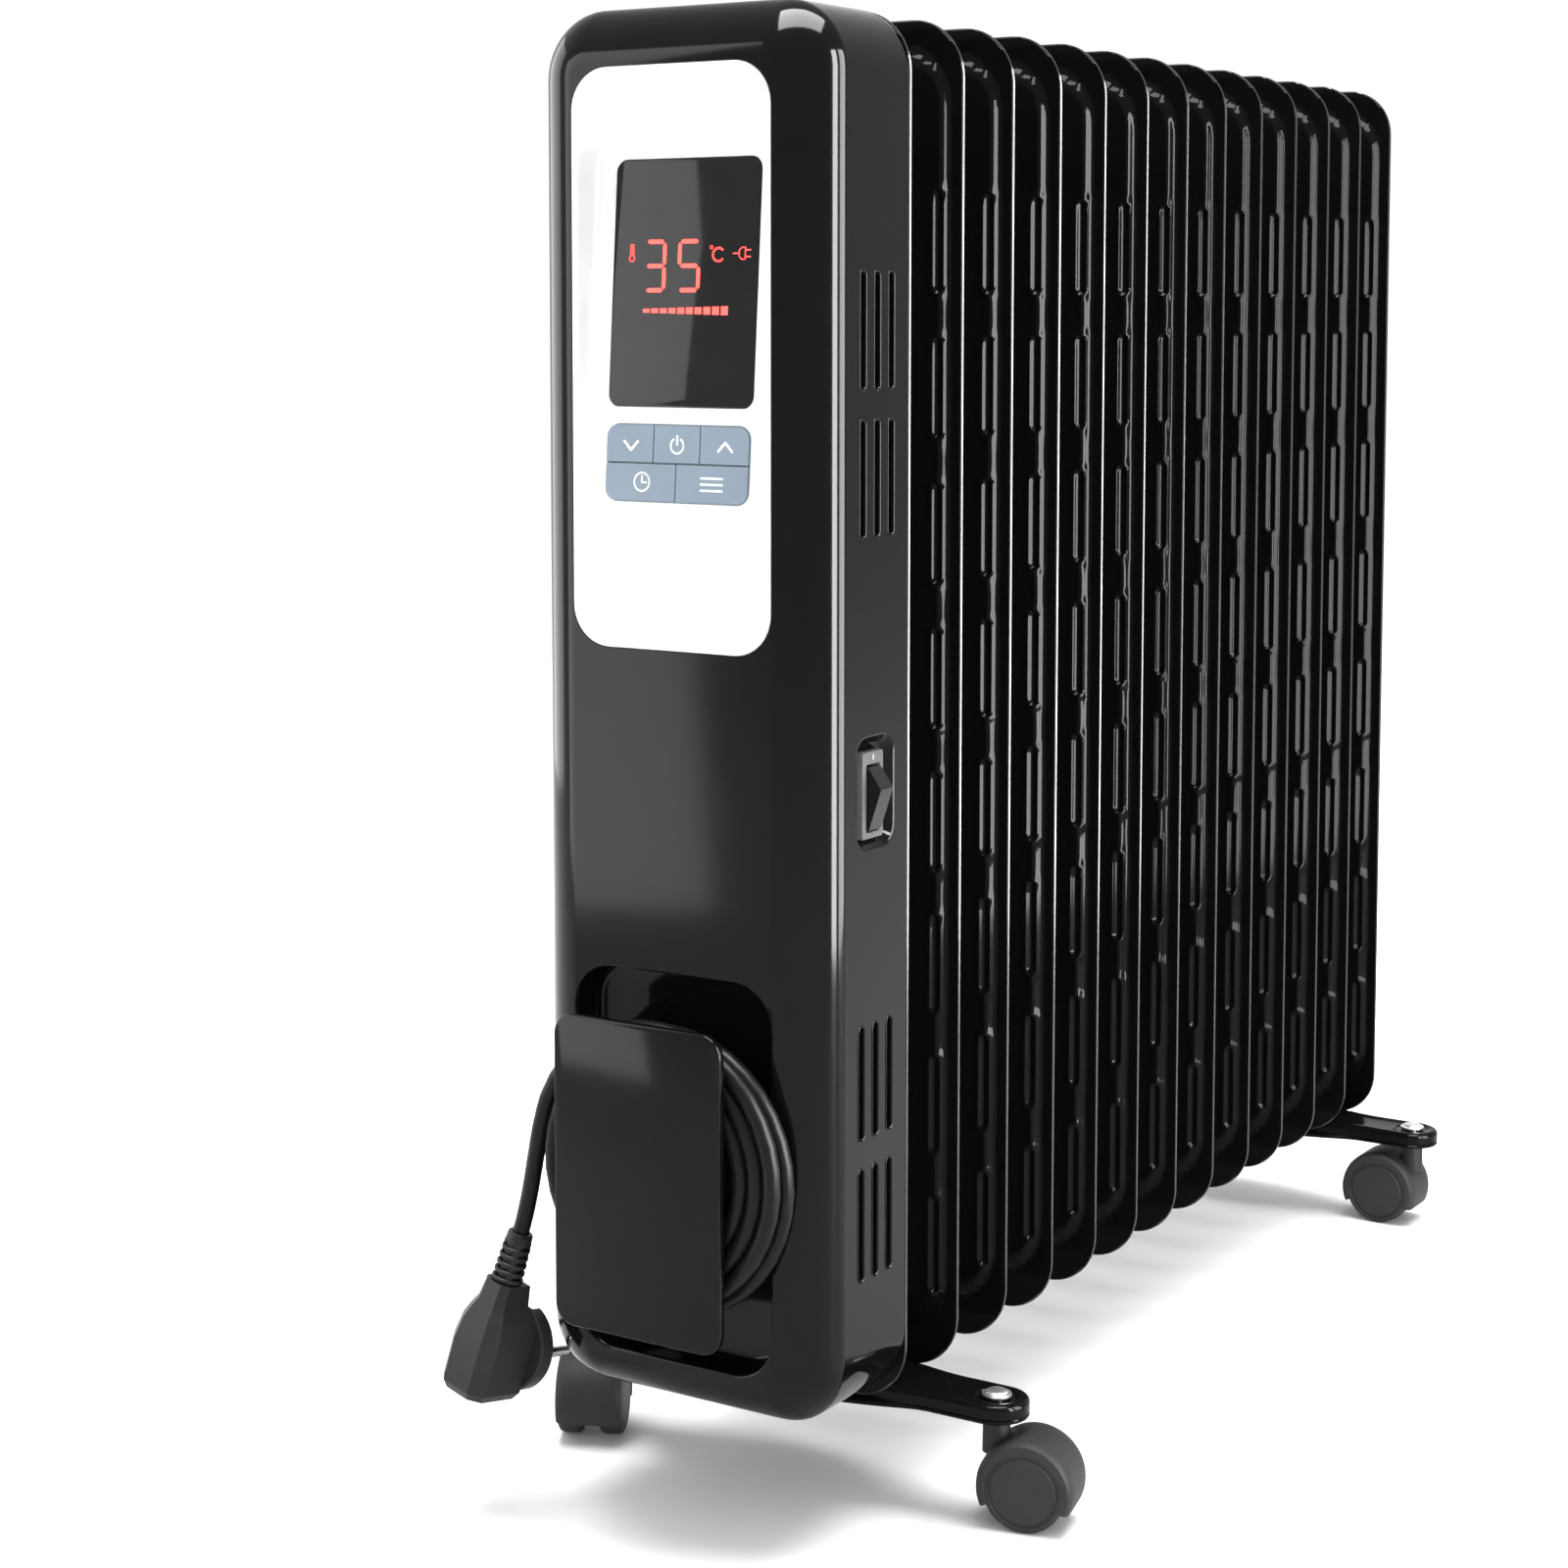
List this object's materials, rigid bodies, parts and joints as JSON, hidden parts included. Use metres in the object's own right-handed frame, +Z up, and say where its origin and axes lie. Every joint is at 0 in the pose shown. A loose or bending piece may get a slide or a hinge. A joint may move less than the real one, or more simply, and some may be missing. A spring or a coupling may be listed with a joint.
{
  "type": "oil filled radiator heater",
  "caption": "Free-standing oil filled radiator: a row of pressed fins with a control housing at one end, a cord winder and twin-wheel swivel casters.",
  "frame": {"origin": "on the floor under the middle of the heater, without its cord", "axes": "+Z up from the floor, +X to the right seen from the control housing, +Y along the fins, with the housing at -Y"},
  "size_m": [0.2744, 0.6232, 0.6085],
  "materials": {
    "enamel": "gloss black enamel",
    "housing": "gloss black",
    "shield": "mill finish sheet",
    "panel": "gloss white",
    "display": "dark tinted window",
    "board": "green laminate",
    "key": "blue-grey, satin",
    "switch_frame": "mid grey",
    "rocker": "black",
    "cord": "black cord sheath",
    "plug": "black moulding",
    "pin": "nickel plated",
    "steel": "plain steel",
    "zinc": "zinc plated",
    "bracket": "gloss black paint",
    "caster": "dark grey, fine texture"
  },
  "bodies": {
    "root": {"fin_01": "enamel", "fin_02": "enamel", "fin_03": "enamel", "fin_04": "enamel", "fin_05": "enamel", "fin_06": "enamel", "fin_07": "enamel", "fin_08": "enamel", "fin_09": "enamel", "fin_10": "enamel", "fin_11": "enamel", "fin_12": "enamel", "fin_13": "enamel", "front_housing": "housing", "heat_shield": "shield", "control_panel": "panel", "display_window": "display", "display_board": "board", "switch_body": "switch_frame", "cord_winder": "housing", "cord_gland": "plug", "cord_lead": "cord", "cord_coil": "cord", "cord_tail": "cord", "plug_body": "plug", "plug_pins": "pin", "heating_element": "steel", "power_board": "board", "tilt_switch": "switch_frame", "bracket_front": "bracket", "bracket_rear": "bracket", "bracket_fasteners": "zinc", "thermal_cutout": "switch_frame", "oil_plug": "steel", "stem_front_right": "zinc", "stem_front_left": "zinc", "stem_rear_right": "zinc", "stem_rear_left": "zinc"},
    "key_down": {"key_down": "key"},
    "key_power": {"key_power": "key"},
    "key_up": {"key_up": "key"},
    "key_timer": {"key_timer": "key"},
    "key_mode": {"key_mode": "key"},
    "rocker": {"switch_rocker": "rocker"},
    "caster_front_right": {"hood_front_right": "caster", "axle_front_right": "zinc"},
    "wheel_a_front_right": {"wheel_a_front_right": "caster"},
    "wheel_b_front_right": {"wheel_b_front_right": "caster"},
    "caster_front_left": {"hood_front_left": "caster", "axle_front_left": "zinc"},
    "wheel_a_front_left": {"wheel_a_front_left": "caster"},
    "wheel_b_front_left": {"wheel_b_front_left": "caster"},
    "caster_rear_right": {"hood_rear_right": "caster", "axle_rear_right": "zinc"},
    "wheel_a_rear_right": {"wheel_a_rear_right": "caster"},
    "wheel_b_rear_right": {"wheel_b_rear_right": "caster"},
    "caster_rear_left": {"hood_rear_left": "caster", "axle_rear_left": "zinc"},
    "wheel_a_rear_left": {"wheel_a_rear_left": "caster"},
    "wheel_b_rear_left": {"wheel_b_rear_left": "caster"}
  },
  "joints": [
    {"name": "key_down_press", "type": "slide", "parent": "root", "child": "key_down", "axis": [0, 0.9974, -0.0715], "range_m": [0, 0.0008], "stiffness_N_per_m": 400},
    {"name": "key_power_press", "type": "slide", "parent": "root", "child": "key_power", "axis": [0, 0.9974, -0.0715], "range_m": [0, 0.0008], "stiffness_N_per_m": 400},
    {"name": "key_up_press", "type": "slide", "parent": "root", "child": "key_up", "axis": [0, 0.9974, -0.0715], "range_m": [0, 0.0008], "stiffness_N_per_m": 400},
    {"name": "key_timer_press", "type": "slide", "parent": "root", "child": "key_timer", "axis": [0, 0.9974, -0.0715], "range_m": [0, 0.0008], "stiffness_N_per_m": 400},
    {"name": "key_mode_press", "type": "slide", "parent": "root", "child": "key_mode", "axis": [0, 0.9974, -0.0715], "range_m": [0, 0.0008], "stiffness_N_per_m": 400},
    {"name": "rocker_tilt", "type": "hinge", "parent": "root", "child": "rocker", "pos_m": [0.066, -0.2418, 0.3], "axis": [0, 1, 0], "range_deg": [-18, 0]},
    {"name": "swivel_front_right", "type": "hinge", "parent": "root", "child": "caster_front_right", "pos_m": [0.1, -0.19525, 0.035], "axis": [0, 0, 1], "continuous": true},
    {"name": "roll_a_front_right", "type": "hinge", "parent": "caster_front_right", "child": "wheel_a_front_right", "pos_m": [0.11413, -0.19199, 0.01725], "axis": [-0.225, 0.9744, 0], "continuous": true},
    {"name": "roll_b_front_right", "type": "hinge", "parent": "caster_front_right", "child": "wheel_b_front_right", "pos_m": [0.11413, -0.19199, 0.01725], "axis": [-0.225, 0.9744, 0], "continuous": true},
    {"name": "swivel_front_left", "type": "hinge", "parent": "root", "child": "caster_front_left", "pos_m": [-0.1, -0.19525, 0.035], "axis": [0, 0, 1], "continuous": true},
    {"name": "roll_a_front_left", "type": "hinge", "parent": "caster_front_left", "child": "wheel_a_front_left", "pos_m": [-0.09342, -0.20817, 0.01725], "axis": [0.891, 0.454, 0], "continuous": true},
    {"name": "roll_b_front_left", "type": "hinge", "parent": "caster_front_left", "child": "wheel_b_front_left", "pos_m": [-0.09342, -0.20817, 0.01725], "axis": [0.891, 0.454, 0], "continuous": true},
    {"name": "swivel_rear_right", "type": "hinge", "parent": "root", "child": "caster_rear_right", "pos_m": [0.1, 0.27225, 0.035], "axis": [0, 0, 1], "continuous": true},
    {"name": "roll_a_rear_right", "type": "hinge", "parent": "caster_rear_right", "child": "wheel_a_rear_right", "pos_m": [0.0855, 0.27225, 0.01725], "axis": [0, -1, 0], "continuous": true},
    {"name": "roll_b_rear_right", "type": "hinge", "parent": "caster_rear_right", "child": "wheel_b_rear_right", "pos_m": [0.0855, 0.27225, 0.01725], "axis": [0, -1, 0], "continuous": true},
    {"name": "swivel_rear_left", "type": "hinge", "parent": "root", "child": "caster_rear_left", "pos_m": [-0.1, 0.27225, 0.035], "axis": [0, 0, 1], "continuous": true},
    {"name": "roll_a_rear_left", "type": "hinge", "parent": "caster_rear_left", "child": "wheel_a_rear_left", "pos_m": [-0.11413, 0.27551, 0.01725], "axis": [-0.225, -0.9744, 0], "continuous": true},
    {"name": "roll_b_rear_left", "type": "hinge", "parent": "caster_rear_left", "child": "wheel_b_rear_left", "pos_m": [-0.11413, 0.27551, 0.01725], "axis": [-0.225, -0.9744, 0], "continuous": true}
  ]
}
